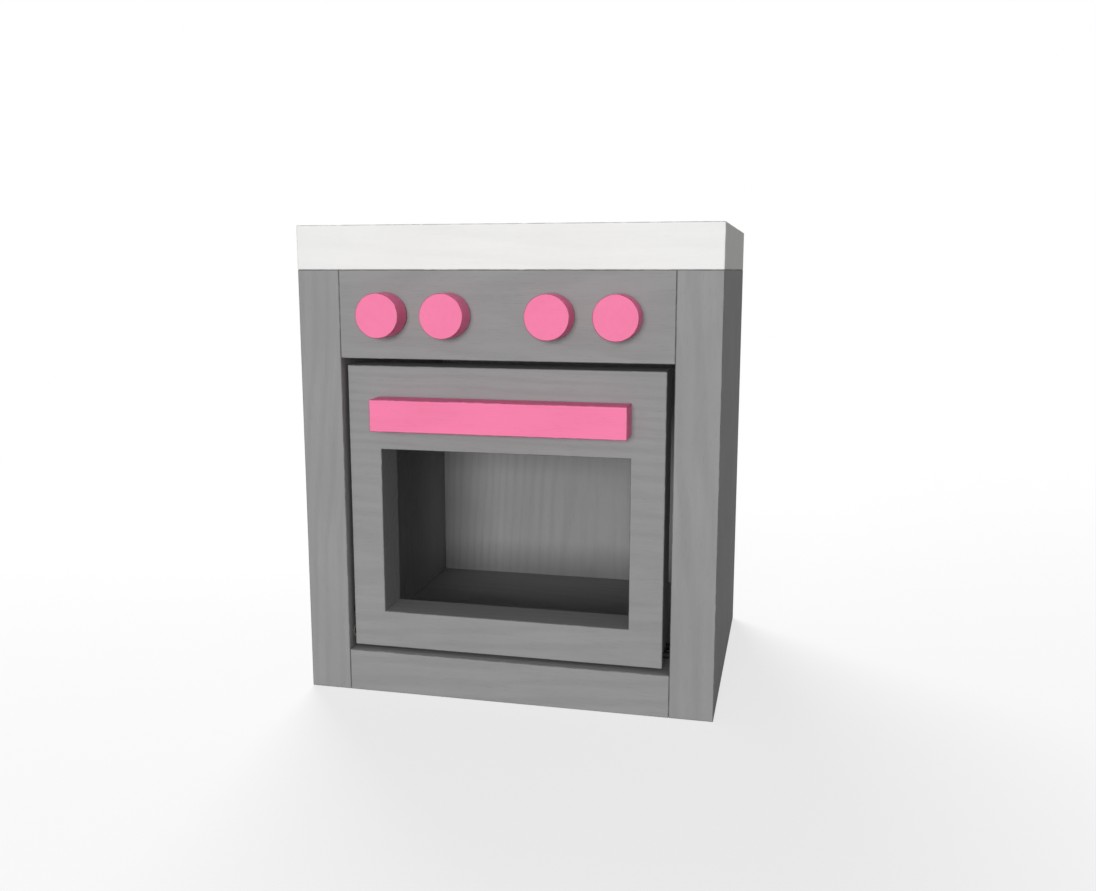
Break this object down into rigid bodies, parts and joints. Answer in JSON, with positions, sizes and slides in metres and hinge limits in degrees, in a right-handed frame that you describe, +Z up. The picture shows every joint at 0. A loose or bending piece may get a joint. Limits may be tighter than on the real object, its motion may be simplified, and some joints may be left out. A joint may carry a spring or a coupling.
{
  "type": "toy oven",
  "caption": "Boxy toy oven of thick painted boards, with a drop-down windowed door, a bar handle and round turning knobs.",
  "frame": {"origin": "on the floor, under the middle of the oven's bounding box, knobs included", "axes": "+Z up, +X to the right seen from the front, +Y from the door towards the back"},
  "size_m": [0.387, 0.3248, 0.4415],
  "materials": {
    "grey_paint": "satin paint",
    "white_paint": "satin paint",
    "pink_paint": "satin paint",
    "charcoal_paint": "satin paint",
    "bare_beech": "bare",
    "steel": "zinc plated",
    "nylon": "matte"
  },
  "bodies": {
    "cabinet": {"side_left": "grey_paint", "side_right": "grey_paint", "floor_board": "grey_paint", "worktop": "white_paint", "knob_panel": "grey_paint", "back_panel": "grey_paint", "oven_roof": "grey_paint", "floor_dowels": "bare_beech", "worktop_dowels": "bare_beech", "panel_dowels": "bare_beech", "back_screws": "steel", "hotplate_front_left": "charcoal_paint", "hotplate_front_right": "charcoal_paint", "hotplate_rear_left": "charcoal_paint", "hotplate_rear_right": "charcoal_paint", "hinge_bush_left": "nylon", "hinge_bush_right": "nylon", "front_washer_1": "nylon", "front_washer_2": "nylon", "front_washer_3": "nylon", "front_washer_4": "nylon"},
    "door": {"door_board": "grey_paint", "door_handle": "pink_paint", "handle_screws": "steel", "hinge_pin_left": "steel", "hinge_pin_right": "steel", "stop_pin_left": "steel", "stop_pin_right": "steel"},
    "turning_knob_1": {"knob_1": "pink_paint", "spindle_1": "bare_beech", "retainer_1": "steel", "retainer_screw_1": "steel"},
    "turning_knob_2": {"knob_2": "pink_paint", "spindle_2": "bare_beech", "retainer_2": "steel", "retainer_screw_2": "steel"},
    "turning_knob_3": {"knob_3": "pink_paint", "spindle_3": "bare_beech", "retainer_3": "steel", "retainer_screw_3": "steel"},
    "turning_knob_4": {"knob_4": "pink_paint", "spindle_4": "bare_beech", "retainer_4": "steel", "retainer_screw_4": "steel"}
  },
  "joints": [
    {"name": "door_hinge", "type": "hinge", "parent": "cabinet", "child": "door", "pos_m": [0, -0.1221, 0.054], "axis": [1, 0, 0], "range_deg": [0, 90]},
    {"name": "knob_1_turn", "type": "hinge", "parent": "cabinet", "child": "turning_knob_1", "pos_m": [-0.1081, -0.1376, 0.36], "axis": [0, -1, 0], "continuous": true},
    {"name": "knob_2_turn", "type": "hinge", "parent": "cabinet", "child": "turning_knob_2", "pos_m": [-0.0485, -0.1376, 0.36], "axis": [0, -1, 0], "continuous": true},
    {"name": "knob_3_turn", "type": "hinge", "parent": "cabinet", "child": "turning_knob_3", "pos_m": [0.0459, -0.1376, 0.36], "axis": [0, -1, 0], "continuous": true},
    {"name": "knob_4_turn", "type": "hinge", "parent": "cabinet", "child": "turning_knob_4", "pos_m": [0.1055, -0.1376, 0.36], "axis": [0, -1, 0], "continuous": true}
  ]
}
